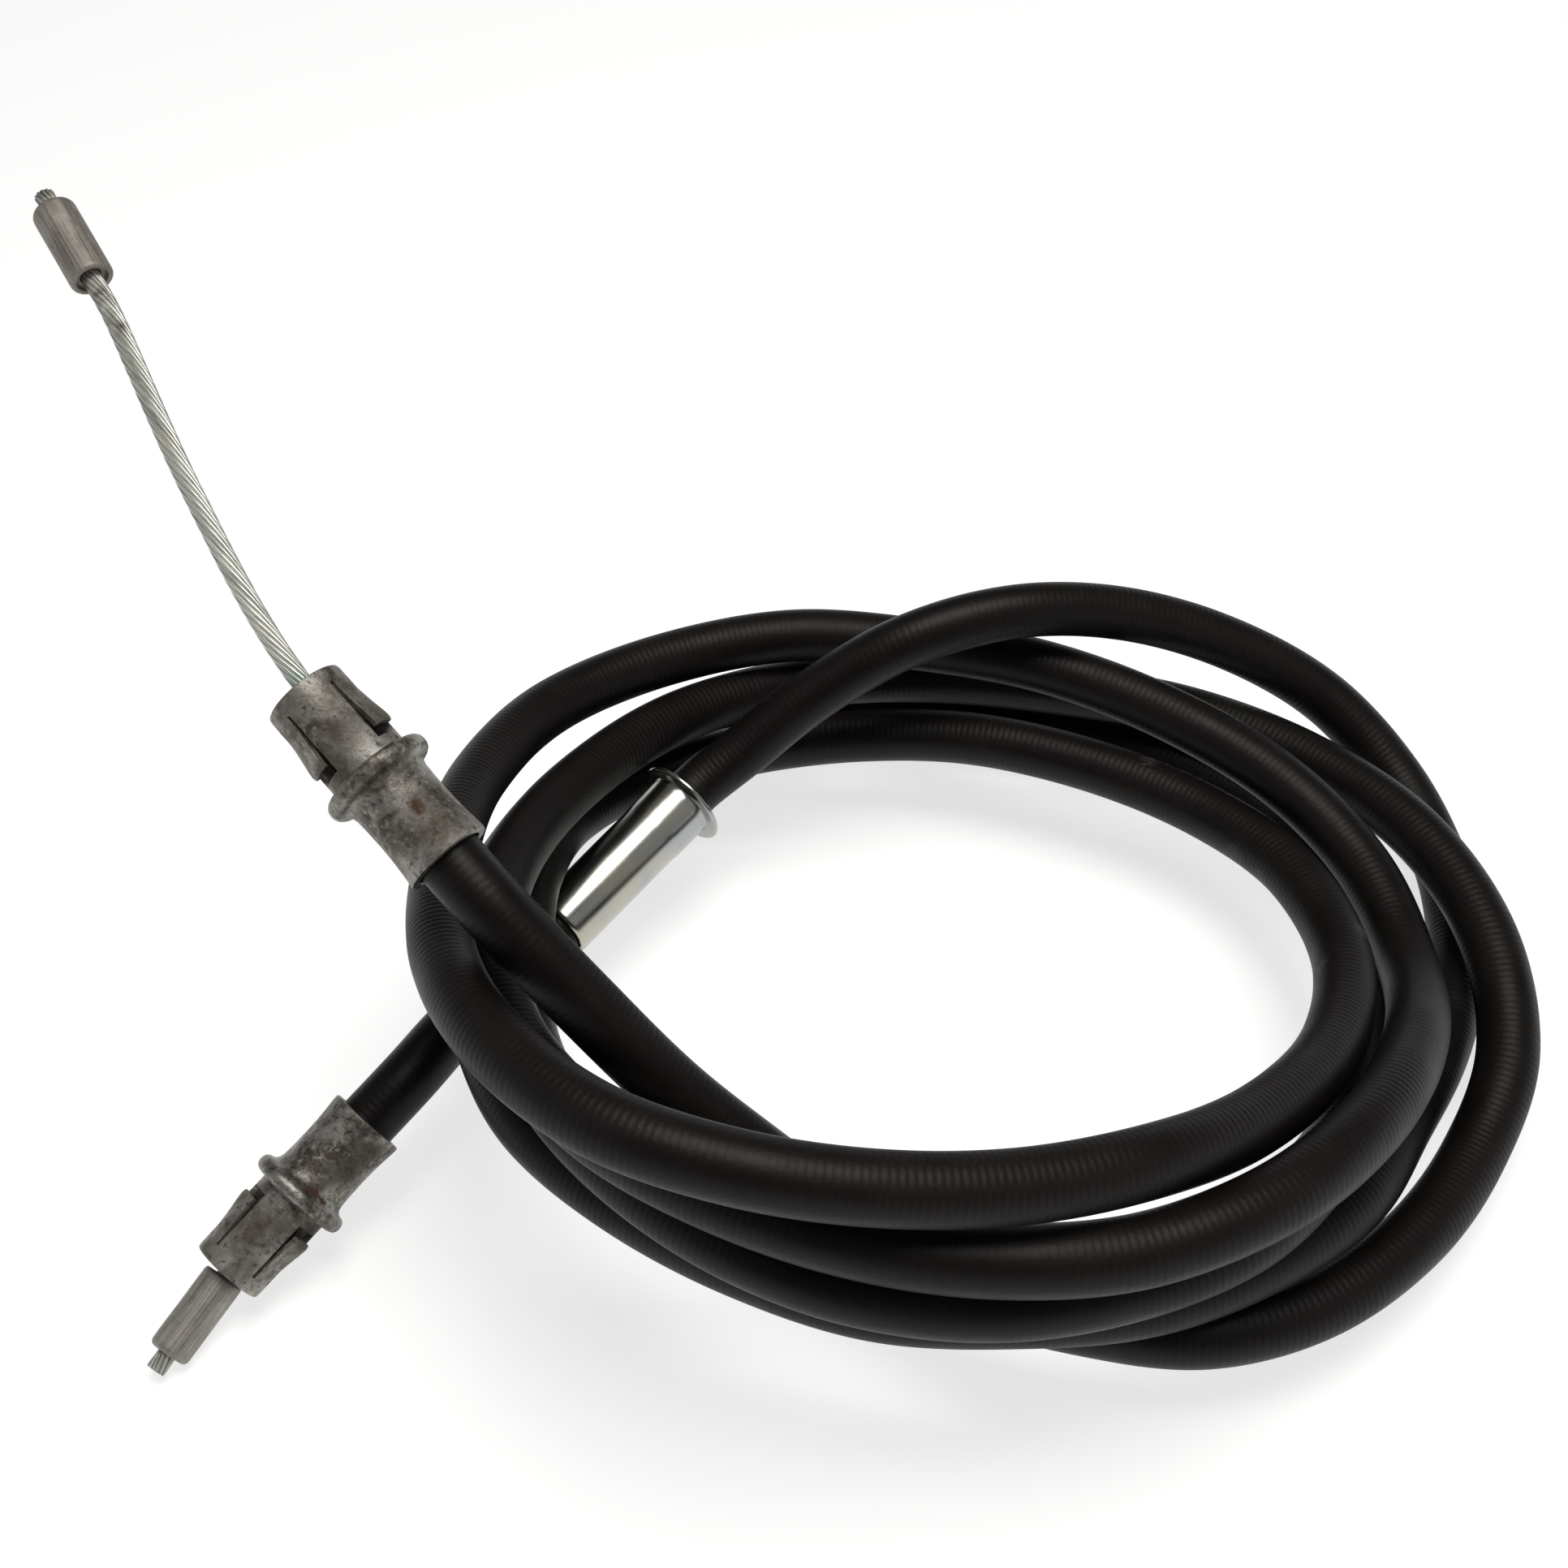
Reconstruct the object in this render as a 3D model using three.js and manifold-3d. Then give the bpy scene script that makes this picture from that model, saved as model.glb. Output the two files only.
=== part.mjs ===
// A parking brake cable lying in a loose coil. A wire rope runs through a long black conduit, from a
// barrel ferrule crimped on one end to a like one on the other. At each end the conduit is crimped
// into a steel end fitting that snaps into a bracket. A plated guide sleeve sits on the conduit.
// Millimetres, +Z up. The coil lies on the ground.

import * as THREE from 'three';
import * as BufferGeometryUtils from 'three/addons/utils/BufferGeometryUtils.js';
import Module from 'manifold-3d';

const wasm = await Module();
wasm.setup();

// Fits

const CLEARANCE = 0.3;          // between two pieces that touch on the real object
const RUNNING_GAP = 1;          // between the wire rope and the bore that it slides in

// Conduit

const CONDUIT_DIAMETER = 10;
const CONDUIT_SIDES = 8;
const CONDUIT_STEP = 12;
const CONDUIT_ROUTE = [
  // from the upper end fitting down and under the stack of turns at the front
  [-52.7, -29.9, 63.2], [-46, -35.3, 58.1], [-33.7, -41.4, 45.5], [-20.9, -45.3, 30.8],
  [-7, -49, 18.5], [7, -54.5, 9], [22, -61.5, 5.2],
  // first turn, on the ground at the right and low at the back
  [38, -67, 5.2], [56, -69.5, 5.2], [73, -65, 5.2], [90.3, -53.3, 5.2], [105, -36, 5.3], [114, -19, 10.5],
  [115, 2, 16.5], [108, 25, 19.5], [93, 46, 19.5], [72, 62, 18.5], [48, 71, 17], [23, 74, 17.5],
  [-1, 68, 20.6], [-24, 53.5, 24], [-41, 30, 28], [-50, 2, 33.5], [-50, -23, 37.5],
  // second turn
  [-44, -43, 39], [-31, -59, 38.5], [-14, -70, 38], [4, -77, 37.5], [23, -79.5, 36.5], [42, -78, 36.5],
  [61, -70, 36.6], [78, -54.5, 33.2], [93, -30, 25.2], [99.5, -5, 17], [96.5, 16, 19.5], [85, 33, 24.5],
  [66, 49, 28], [44, 60.5, 30.2], [21, 66.5, 31], [-3, 68.3, 31.8], [-27, 60.5, 32], [-47, 44, 33.5],
  [-57, 20, 37], [-58.5, -8, 42.5], [-54.5, -35, 48],
  // third turn, the top one at the front and the inner one at the back
  [-44, -56, 52.5], [-29, -70.5, 54], [-12, -77, 53], [6, -78.5, 50.5], [25, -76, 47.5], [44, -69, 44],
  [63, -54, 35.5], [79.5, -32, 27], [87, -7, 21.5], [83, 16, 19.5], [71, 32.5, 18.5], [53, 45, 18.5],
  [31, 54.5, 17.5], [10, 58.5, 15], [-11, 58.5, 11.8], [-31.2, 50.5, 11.3], [-44.2, 34.3, 14.6], [-48.5, 13, 20],
  [-48, -7, 23], [-46, -26, 26],
  // fourth turn, hidden for most of its way
  [-40, -43, 28], [-28, -58, 28], [-12, -70, 27.2], [5, -77, 26.6], [24, -79, 26], [43, -75.5, 25.9],
  [60.5, -67.5, 26.2], [75.5, -51, 23.2], [88.3, -27.5, 15.2], [96, 0, 6], [95.5, 28, 5.2], [85, 50, 5.2],
  [65, 66, 6], [40, 73, 6], [14, 77, 6], [-11, 75.5, 5.4], [-32, 67, 5.2], [-47, 52, 6.5],
  [-55, 31, 10], [-57.6, 9, 14.6], [-56, -9, 16], [-52, -25, 16.2],
  // fifth turn, low at the front, then the arch at the back over all the others
  [-44, -40, 16.4], [-29, -54, 16.2], [-11, -65, 16], [8, -72, 15.8], [28, -73, 15.6], [47, -71, 15.6],
  [65, -63.5, 15.2], [80.5, -51.5, 12.8], [94, -31.5, 7.4], [105, -14, 5.2], [112, 2, 5.2], [116, 18, 5.2],
  [116.5, 32.5, 7], [111.5, 47.5, 13], [99, 59, 23], [81, 63.5, 32.5], [59, 63, 40.5], [37, 58, 44.5],
  [17.5, 53, 41.5], [0.5, 50, 31.5], [-12.5, 46, 21.5], [-21.1, 41.4, 16.5],
];
const SLEEVE_STRETCH = [
  // straight where the guide sleeve sits, from its flange to its plain end
  [-23.6, 38.5, 15.5], [-34.8, 25.7, 11.1], [-46, 13, 6.8],
];
const LOWER_STRETCH = [
  // under the turns and out to the lower end fitting, which points down to the ground
  [-48.6, 10.1, 5.8], [-54.5, 1.5, 5.1], [-61, -8.9, 5.6], [-67.2, -18.8, 4.3], [-73.8, -25.2, 0.3],
];

// Wire rope

const ROPE_DIAMETER = 3.2;
const ROPE_SIDES = 6;
const ROPE_STEP = 9;
const ROPE_STUB = 3;            // cut wires that stand out beyond each ferrule
const UPPER_REACH = [
  // bare rope from the upper fitting's mouth to its ferrule
  [-78.2, -7, 82.9], [-93.5, 14.6, 97.6], [-109.1, 41.6, 112.5], [-112.3, 46, 115.5],
];
const UPPER_AIM = [-0.52, 0.70, 0.48];
const LOWER_REACH = [
  // the lower ferrule is drawn up to its fitting's mouth
  [-95.7, -45.4, -14.3],
];
const LOWER_AIM = [-0.54, -0.76, -0.37];

// Barrel ferrules

const FERRULE_DIAMETER = 7;
const FERRULE_LENGTH = 14.4;
const FERRULE_CHAMFER = 0.6;
const FERRULE_RECESS_DEPTH = 0.8;
const FERRULE_RECESS_WALL = 1.1;

// End fittings, measured along the axis from the rear edge to the mouth

const GRIP_DEPTH = 12.8;        // how far the conduit reaches into the fitting
const FITTING_WALL = 1;
const REAR_FLARE = 0.35;        // the rear edge stands out this far
const FLARE_LENGTH = 3;
const BEAD_HEIGHT = 2.4;        // the rolled bead stands out this far from the tube
const BEAD_THICKNESS = 2.6;
const FRONT_LENGTH = 15.2;      // from the bead to the mouth
const MOUTH_ROUNDING = 0.7;
const SHOULDER_THICKNESS = 1.2; // the inner shoulder that stops the conduit

// Snap-in fingers, lanced from the front tube

const FINGER_COUNT = 3;
const FINGER_WIDTH = 3.9;
const FINGER_THICKNESS = 0.8;
const FINGER_SIDE_GAP = 0.5;
const FINGER_RISE = 1;          // how far the free end stands out from the tube
const FINGER_END_LIP = 0.35;    // the free end is turned in again by this much
const WINDOW_TO_BEAD = 1.8;
const FINGER_TO_BEAD = 3.6;
const FINGER_ROOT = 2.2;        // solid ring that is left at the mouth
const UPPER_ROLL = 63;          // degrees that each fitting is turned about its axis
const LOWER_ROLL = 56;

// Guide sleeve

const SLEEVE_LENGTH = 34;
const SLEEVE_WALL = 0.95;
const SLEEVE_STEP = 0.2;        // the crimped plain end is this much slimmer
const SLEEVE_STEP_AT = 9;
const FLANGE_HEIGHT = 2.3;
const FLANGE_THICKNESS = 0.9;

const TURN_SEGMENTS = 24;

// The way up, as the route above has it: the cable rests on the lower ferrule's end, its right side
// and its back, and its front turns stand clear of the ground.

const WAY_UP = [-0.0778, -0.0783, 0.9939];

// Sizes that follow from the ones above

const conduitRadius = CONDUIT_DIAMETER / 2;
const ropeRadius = ROPE_DIAMETER / 2;
const conduitBore = ropeRadius + RUNNING_GAP;
const seatRadius = (conduitRadius + CLEARANCE) / Math.cos(Math.PI / TURN_SEGMENTS);
const tubeRadius = seatRadius + FITTING_WALL;
const shoulderAt = GRIP_DEPTH + CLEARANCE;
const beadFrontAt = shoulderAt + SHOULDER_THICKNESS + BEAD_THICKNESS;
const mouthAt = beadFrontAt + FRONT_LENGTH;

// Materials

const steel = new THREE.MeshStandardMaterial({ color: 0x8b8780, roughness: 0.55, metalness: 0.85 });
const crimpedSteel = new THREE.MeshStandardMaterial({ color: 0x9a928c, roughness: 0.6, metalness: 0.8 });
const plating = new THREE.MeshStandardMaterial({ color: 0xc9ccc8, roughness: 0.22, metalness: 1 });
const ropeSteel = new THREE.MeshStandardMaterial({ color: 0xb4b6a8, roughness: 0.45, metalness: 0.8 });
const blackPlastic = new THREE.MeshStandardMaterial({ color: 0x1e1c1c, roughness: 0.5, metalness: 0 });

// Tools

const toVectors = (rows) => rows.map((row) => new THREE.Vector3(...row));

function beyond(point, direction, distance) {
  return point.clone().addScaledVector(direction, distance);
}

function toManifold(geometry) {
  const bare = geometry.clone();
  bare.deleteAttribute('normal');
  bare.deleteAttribute('uv');
  const merged = BufferGeometryUtils.mergeVertices(bare, 1e-4);
  return new wasm.Manifold(new wasm.Mesh({
    numProp: 3,
    vertProperties: new Float32Array(merged.attributes.position.array),
    triVerts: new Uint32Array(merged.index.array),
  }));
}

function toGeometry(solid) {
  const mesh = solid.getMesh();
  const geometry = new THREE.BufferGeometry();
  geometry.setAttribute('position', new THREE.BufferAttribute(new Float32Array(mesh.vertProperties), 3));
  geometry.setIndex(new THREE.BufferAttribute(new Uint32Array(mesh.triVerts), 1));
  geometry.computeVertexNormals();
  return geometry;
}

// A turned piece from its closed profile of [radius, height] rows, which runs up the outside and
// down the bore. Its axis is Z.
function turned(profile) {
  const points = [...profile, profile[0]].map(([radius, height]) => new THREE.Vector2(radius, height));
  return new THREE.LatheGeometry(points, TURN_SEGMENTS).rotateX(Math.PI / 2);
}

// A round or hollow section swept along a curve.
function swept(curve, radius, bore, sides, step) {
  const section = new THREE.Shape().absarc(0, 0, radius, 0, 2 * Math.PI);
  if (bore > 0) {
    section.holes.push(new THREE.Path().absarc(0, 0, bore, 0, 2 * Math.PI, true));
  }
  return new THREE.ExtrudeGeometry(section, {
    curveSegments: sides / 2,
    steps: Math.round(curve.getLength() / step),
    extrudePath: curve,
  });
}

function smoothCurve(points) {
  const curve = new THREE.CatmullRomCurve3(points, false, 'centripetal');
  curve.arcLengthDivisions = 20 * points.length;
  return curve;
}

// Stands a piece with its own Z axis along a direction and turns it about that axis.
function stand(mesh, origin, direction, roll = 0) {
  const side = new THREE.Vector3().crossVectors(direction, new THREE.Vector3(0, 0, 1)).normalize();
  const top = new THREE.Vector3().crossVectors(direction, side);
  mesh.quaternion.setFromRotationMatrix(new THREE.Matrix4().makeBasis(side, top, direction));
  mesh.rotateZ(THREE.MathUtils.degToRad(roll));
  mesh.position.copy(origin);
}

// The line that each end follows, worked out from the conduit's route

const route = toVectors([...CONDUIT_ROUTE, ...SLEEVE_STRETCH, ...LOWER_STRETCH]);
const upperRear = route[0];
const lowerRear = route[route.length - 1];
const upperAxis = upperRear.clone().sub(route[1]).normalize();
const lowerAxis = lowerRear.clone().sub(route[route.length - 2]).normalize();
const conduitPoints = [
  beyond(upperRear, upperAxis, GRIP_DEPTH),
  ...route,
  beyond(lowerRear, lowerAxis, GRIP_DEPTH),
];

const upperReach = toVectors(UPPER_REACH);
const lowerReach = toVectors(LOWER_REACH);
const upperAim = new THREE.Vector3(...UPPER_AIM).normalize();
const lowerAim = new THREE.Vector3(...LOWER_AIM).normalize();
const upperFerruleAt = upperReach[upperReach.length - 1];
const lowerFerruleAt = lowerReach[lowerReach.length - 1];

function ropeTail(start, aim) {
  return [FERRULE_LENGTH / 2, FERRULE_LENGTH, FERRULE_LENGTH + ROPE_STUB]
    .map((distance) => beyond(start, aim, distance));
}

// Conduit: one long hose, open at both ends, hollow for the rope

function conduitMesh() {
  const geometry = swept(smoothCurve(conduitPoints), conduitRadius, conduitBore, CONDUIT_SIDES, CONDUIT_STEP);
  return new THREE.Mesh(geometry, blackPlastic);
}

// Wire rope: one length from stub to stub, through both ferrules, both fittings and the conduit

function wireRopeMesh() {
  const points = [
    ...ropeTail(upperFerruleAt, upperAim).reverse(),
    ...[...upperReach].reverse(),
    ...conduitPoints,
    ...lowerReach,
    ...ropeTail(lowerFerruleAt, lowerAim),
  ];
  const geometry = swept(smoothCurve(points), ropeRadius, 0, ROPE_SIDES, ROPE_STEP);
  return new THREE.Mesh(geometry, ropeSteel);
}

// End fitting: a drawn steel tube with a flared rear edge, a rolled bead and lanced fingers

function fittingTube() {
  const frontBore = tubeRadius - FITTING_WALL;
  const beadRadius = tubeRadius + BEAD_HEIGHT;
  const beadRearAt = beadFrontAt - BEAD_THICKNESS;
  const rim = BEAD_THICKNESS / 2;
  return turned([
    [seatRadius, 0],
    [tubeRadius + REAR_FLARE, 0],
    [tubeRadius + REAR_FLARE, FLARE_LENGTH / 3],
    [tubeRadius, FLARE_LENGTH],
    [tubeRadius, beadRearAt],
    [beadRadius - rim, beadRearAt],
    [beadRadius - rim * 0.3, beadRearAt + rim * 0.3],
    [beadRadius, beadRearAt + rim],
    [beadRadius - rim * 0.3, beadFrontAt - rim * 0.3],
    [beadRadius - rim, beadFrontAt],
    [tubeRadius, beadFrontAt],
    [tubeRadius, mouthAt - MOUTH_ROUNDING],
    [tubeRadius - MOUTH_ROUNDING * 0.3, mouthAt - MOUTH_ROUNDING * 0.3],
    [tubeRadius - MOUTH_ROUNDING, mouthAt],
    [frontBore, mouthAt],
    [frontBore, shoulderAt + SHOULDER_THICKNESS],
    [conduitBore, shoulderAt + SHOULDER_THICKNESS],
    [conduitBore, shoulderAt],
    [seatRadius, shoulderAt],
  ]);
}

// The flared ring that the fingers are cut from: it leaves the tube at the root and rises to the
// free end, where it is turned in.
function fingerRing() {
  const root = mouthAt - FINGER_ROOT;
  const end = beadFrontAt + FINGER_TO_BEAD;
  const turn = 2 * FINGER_END_LIP;
  const outer = tubeRadius + FINGER_RISE;
  return turned([
    [outer - FINGER_END_LIP - FINGER_THICKNESS, end],
    [outer - FINGER_END_LIP, end],
    [outer, end + turn],
    [tubeRadius - CLEARANCE / 3, root],
    [tubeRadius - CLEARANCE / 3, root + FINGER_ROOT / 2],
    [tubeRadius - FINGER_THICKNESS, root + FINGER_ROOT / 2],
    [tubeRadius - FINGER_THICKNESS, root],
    [outer - FINGER_THICKNESS, end + turn],
  ]);
}

// A block that stands across the tube's wall at one finger, of a given width and length.
function wallBlock(width, from, to, angle) {
  const reach = tubeRadius + FINGER_RISE + FITTING_WALL;
  const inner = conduitBore + CLEARANCE;
  return new THREE.BoxGeometry(reach - inner, width, to - from)
    .translate((reach + inner) / 2, 0, (from + to) / 2)
    .rotateZ(angle);
}

function fittingMesh() {
  let body = toManifold(fittingTube());
  const ring = toManifold(fingerRing());
  const windowWidth = FINGER_WIDTH + 2 * FINGER_SIDE_GAP;
  const windowFrom = beadFrontAt + WINDOW_TO_BEAD;
  const root = mouthAt - FINGER_ROOT;
  for (let i = 0; i < FINGER_COUNT; i += 1) {
    const angle = (2 * Math.PI * i) / FINGER_COUNT;
    body = body.subtract(toManifold(wallBlock(windowWidth, windowFrom, root, angle)));
  }
  for (let i = 0; i < FINGER_COUNT; i += 1) {
    const angle = (2 * Math.PI * i) / FINGER_COUNT;
    body = body.add(ring.intersect(toManifold(wallBlock(FINGER_WIDTH, windowFrom, mouthAt, angle))));
  }
  return new THREE.Mesh(toGeometry(body), steel);
}

// Barrel ferrule: crimped on the rope, with a recess where the rope enters

function ferruleMesh() {
  const outer = FERRULE_DIAMETER / 2;
  const bore = ropeRadius + CLEARANCE;
  return new THREE.Mesh(turned([
    [outer - FERRULE_RECESS_WALL, 0],
    [outer - FERRULE_CHAMFER / 2, 0],
    [outer, FERRULE_CHAMFER],
    [outer, FERRULE_LENGTH - FERRULE_CHAMFER],
    [outer - FERRULE_CHAMFER, FERRULE_LENGTH],
    [bore, FERRULE_LENGTH],
    [bore, FERRULE_RECESS_DEPTH],
  ]), crimpedSteel);
}

// Guide sleeve: a plated tube with a thin flange, crimped on the conduit

function sleeveMesh() {
  const bore = seatRadius;
  const outer = bore + SLEEVE_WALL;
  const flange = outer + FLANGE_HEIGHT;
  const edge = FLANGE_THICKNESS / 3;
  return new THREE.Mesh(turned([
    [bore, 0],
    [flange - edge, 0],
    [flange, edge],
    [flange, FLANGE_THICKNESS - edge],
    [flange - edge, FLANGE_THICKNESS],
    [outer, FLANGE_THICKNESS],
    [outer, SLEEVE_STEP_AT],
    [outer - SLEEVE_STEP, SLEEVE_STEP_AT + 2 * SLEEVE_STEP],
    [outer - SLEEVE_STEP, SLEEVE_LENGTH - SLEEVE_WALL / 2],
    [outer - SLEEVE_STEP - SLEEVE_WALL / 3, SLEEVE_LENGTH],
    [bore, SLEEVE_LENGTH],
  ]), plating);
}

// Assembly

const group = new THREE.Group();

function addPiece(name, mesh) {
  mesh.name = name;
  group.add(mesh);
  return mesh;
}

addPiece('conduit', conduitMesh());
addPiece('wire_rope', wireRopeMesh());
stand(addPiece('upper_end_fitting', fittingMesh()), upperRear, upperAxis, UPPER_ROLL);
stand(addPiece('lower_end_fitting', fittingMesh()), lowerRear, lowerAxis, LOWER_ROLL);
stand(addPiece('upper_ferrule', ferruleMesh()), upperFerruleAt, upperAim);
stand(addPiece('lower_ferrule', ferruleMesh()), lowerFerruleAt, lowerAim);

const [sleeveFlangeAt, , sleeveEndAt] = toVectors(SLEEVE_STRETCH);
const sleeveAxis = sleeveEndAt.clone().sub(sleeveFlangeAt).normalize();
stand(addPiece('guide_sleeve', sleeveMesh()), sleeveFlangeAt, sleeveAxis);

// The origin is the middle of the footprint, on the ground.

group.quaternion.setFromUnitVectors(new THREE.Vector3(...WAY_UP).normalize(), new THREE.Vector3(0, 0, 1));
const extent = new THREE.Box3().setFromObject(group, true);
const middle = extent.getCenter(new THREE.Vector3());
group.position.set(-middle.x, -middle.y, -extent.min.z);

export default group;
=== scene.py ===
# A parking brake cable that lies in a loose coil: black ribbed conduit, steel end fittings, a plated
# guide sleeve and a wire rope with a crimped ferrule on each end. Lengths in the lists are millimetres.
import math

import bpy
import numpy as np
from mathutils import Matrix, Vector


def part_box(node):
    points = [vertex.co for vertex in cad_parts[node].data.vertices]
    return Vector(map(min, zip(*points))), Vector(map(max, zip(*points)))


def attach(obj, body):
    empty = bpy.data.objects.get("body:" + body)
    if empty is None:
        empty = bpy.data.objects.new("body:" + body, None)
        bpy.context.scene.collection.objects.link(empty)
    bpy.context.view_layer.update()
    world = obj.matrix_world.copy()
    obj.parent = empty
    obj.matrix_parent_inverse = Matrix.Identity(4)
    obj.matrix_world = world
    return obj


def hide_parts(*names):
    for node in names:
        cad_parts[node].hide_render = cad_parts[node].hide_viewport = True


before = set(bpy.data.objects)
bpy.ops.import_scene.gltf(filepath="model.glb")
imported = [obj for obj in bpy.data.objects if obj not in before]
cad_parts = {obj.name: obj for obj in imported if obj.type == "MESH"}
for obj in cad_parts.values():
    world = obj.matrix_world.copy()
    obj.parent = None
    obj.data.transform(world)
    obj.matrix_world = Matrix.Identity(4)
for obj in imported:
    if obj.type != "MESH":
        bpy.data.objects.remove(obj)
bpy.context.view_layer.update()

# The line that the cable follows. The route is the conduit's centre-line, as in the part's source,
# and each end fitting, the rope and the ferrules continue it.

CONDUIT_ROUTE = [
    (-52.7, -29.9, 63.2), (-46, -35.3, 58.1), (-33.7, -41.4, 45.5), (-20.9, -45.3, 30.8),
    (-7, -49, 18.5), (7, -54.5, 9), (22, -61.5, 5.2),
    (38, -67, 5.2), (56, -69.5, 5.2), (73, -65, 5.2), (90.3, -53.3, 5.2), (105, -36, 5.3), (114, -19, 10.5),
    (115, 2, 16.5), (108, 25, 19.5), (93, 46, 19.5), (72, 62, 18.5), (48, 71, 17), (23, 74, 17.5),
    (-1, 68, 20.6), (-24, 53.5, 24), (-41, 30, 28), (-50, 2, 33.5), (-50, -23, 37.5),
    (-44, -43, 39), (-31, -59, 38.5), (-14, -70, 38), (4, -77, 37.5), (23, -79.5, 36.5), (42, -78, 36.5),
    (61, -70, 36.6), (78, -54.5, 33.2), (93, -30, 25.2), (99.5, -5, 17), (96.5, 16, 19.5), (85, 33, 24.5),
    (66, 49, 28), (44, 60.5, 30.2), (21, 66.5, 31), (-3, 68.3, 31.8), (-27, 60.5, 32), (-47, 44, 33.5),
    (-57, 20, 37), (-58.5, -8, 42.5), (-54.5, -35, 48),
    (-44, -56, 52.5), (-29, -70.5, 54), (-12, -77, 53), (6, -78.5, 50.5), (25, -76, 47.5), (44, -69, 44),
    (63, -54, 35.5), (79.5, -32, 27), (87, -7, 21.5), (83, 16, 19.5), (71, 32.5, 18.5), (53, 45, 18.5),
    (31, 54.5, 17.5), (10, 58.5, 15), (-11, 58.5, 11.8), (-31.2, 50.5, 11.3), (-44.2, 34.3, 14.6),
    (-48.5, 13, 20), (-48, -7, 23), (-46, -26, 26),
    (-40, -43, 28), (-28, -58, 28), (-12, -70, 27.2), (5, -77, 26.6), (24, -79, 26), (43, -75.5, 25.9),
    (60.5, -67.5, 26.2), (75.5, -51, 23.2), (88.3, -27.5, 15.2), (96, 0, 6), (95.5, 28, 5.2), (85, 50, 5.2),
    (65, 66, 6), (40, 73, 6), (14, 77, 6), (-11, 75.5, 5.4), (-32, 67, 5.2), (-47, 52, 6.5),
    (-55, 31, 10), (-57.6, 9, 14.6), (-56, -9, 16), (-52, -25, 16.2),
    (-44, -40, 16.4), (-29, -54, 16.2), (-11, -65, 16), (8, -72, 15.8), (28, -73, 15.6), (47, -71, 15.6),
    (65, -63.5, 15.2), (80.5, -51.5, 12.8), (94, -31.5, 7.4), (105, -14, 5.2), (112, 2, 5.2), (116, 18, 5.2),
    (116.5, 32.5, 7), (111.5, 47.5, 13), (99, 59, 23), (81, 63.5, 32.5), (59, 63, 40.5), (37, 58, 44.5),
    (17.5, 53, 41.5), (0.5, 50, 31.5), (-12.5, 46, 21.5), (-21.1, 41.4, 16.5),
    (-23.6, 38.5, 15.5), (-34.8, 25.7, 11.1), (-46, 13, 6.8),
    (-48.6, 10.1, 5.8), (-54.5, 1.5, 5.1), (-61, -8.9, 5.6), (-67.2, -18.8, 4.3), (-73.8, -25.2, 0.3),
]
UPPER_REACH = [(-78.2, -7, 82.9), (-93.5, 14.6, 97.6), (-109.1, 41.6, 112.5), (-112.3, 46, 115.5)]
LOWER_REACH = [(-95.7, -45.4, -14.3)]
GRIP_DEPTH = 12.8
FERRULE_LENGTH = 14.4
ROPE_STUB = 3.0
UPPER_FERRULE_AIM = (-0.52, 0.70, 0.48)
LOWER_FERRULE_AIM = (-0.54, -0.76, -0.37)
WAY_UP = (-0.0778, -0.0783, 0.9939)
SPAN_POINTS = 40


def unit(v):
    return np.asarray(v, float) / np.linalg.norm(v)


def smooth_line(points, step):
    """Centripetal Catmull-Rom through the points, taken again at even steps.

    On each span p(t) = (2t^3-3t^2+1) a + (t^3-2t^2+t) m + (3t^2-2t^3) b + (t^3-t^2) n, where m and n
    come from the neighbours weighted by the square roots of the span lengths.
    """
    p = np.asarray(points, float)
    p = np.vstack([2 * p[0] - p[1], p, 2 * p[-1] - p[-2]])
    d = np.sqrt(np.linalg.norm(np.diff(p, axis=0), axis=1))[:, None]
    a, b, c, e = p[:-3], p[1:-2], p[2:-1], p[3:]
    da, db, dc = d[:-2], d[1:-1], d[2:]
    m = ((b - a) / da - (c - a) / (da + db) + (c - b) / db) * db
    n = ((c - b) / db - (e - b) / (db + dc) + (e - c) / dc) * db
    t = np.linspace(0, 1, SPAN_POINTS, endpoint=False)[None, :, None]
    b, c, m, n = b[:, None], c[:, None], m[:, None], n[:, None]
    fine = (2 * t**3 - 3 * t**2 + 1) * b + (t**3 - 2 * t**2 + t) * m
    fine = fine + (3 * t**2 - 2 * t**3) * c + (t**3 - t**2) * n
    fine = np.vstack([fine.reshape(-1, 3), p[-2]])
    along = np.concatenate([[0], np.cumsum(np.linalg.norm(np.diff(fine, axis=0), axis=1))])
    at = np.linspace(0, along[-1], int(round(along[-1] / step)) + 1)
    return np.stack([np.interp(at, along, fine[:, k]) for k in range(3)], axis=1), at


route = np.array(CONDUIT_ROUTE, float)
upper_axis = unit(route[0] - route[1])
lower_axis = unit(route[-1] - route[-2])
upper_aim = unit(UPPER_FERRULE_AIM)
lower_aim = unit(LOWER_FERRULE_AIM)
upper_ferrule_at = np.array(UPPER_REACH[-1], float)
lower_ferrule_at = np.array(LOWER_REACH[-1], float)

# The cable rests on its lower ferrule's end, its right side and its back, so the lists are turned
# to stand their way up upright, and moved as the solids are, whose origin is under their middle.


def turn_upright(up):
    """The least turn that takes a direction to +Z: I + K + K K / (1 + c), with K the cross product
    by up x Z and c the cosine between them."""
    v = np.cross(up, (0, 0, 1))
    k = np.array([[0, -v[2], v[1]], [v[2], 0, -v[0]], [-v[1], v[0], 0]])
    return np.eye(3) + k + k @ k / (1 + up[2])


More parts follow.
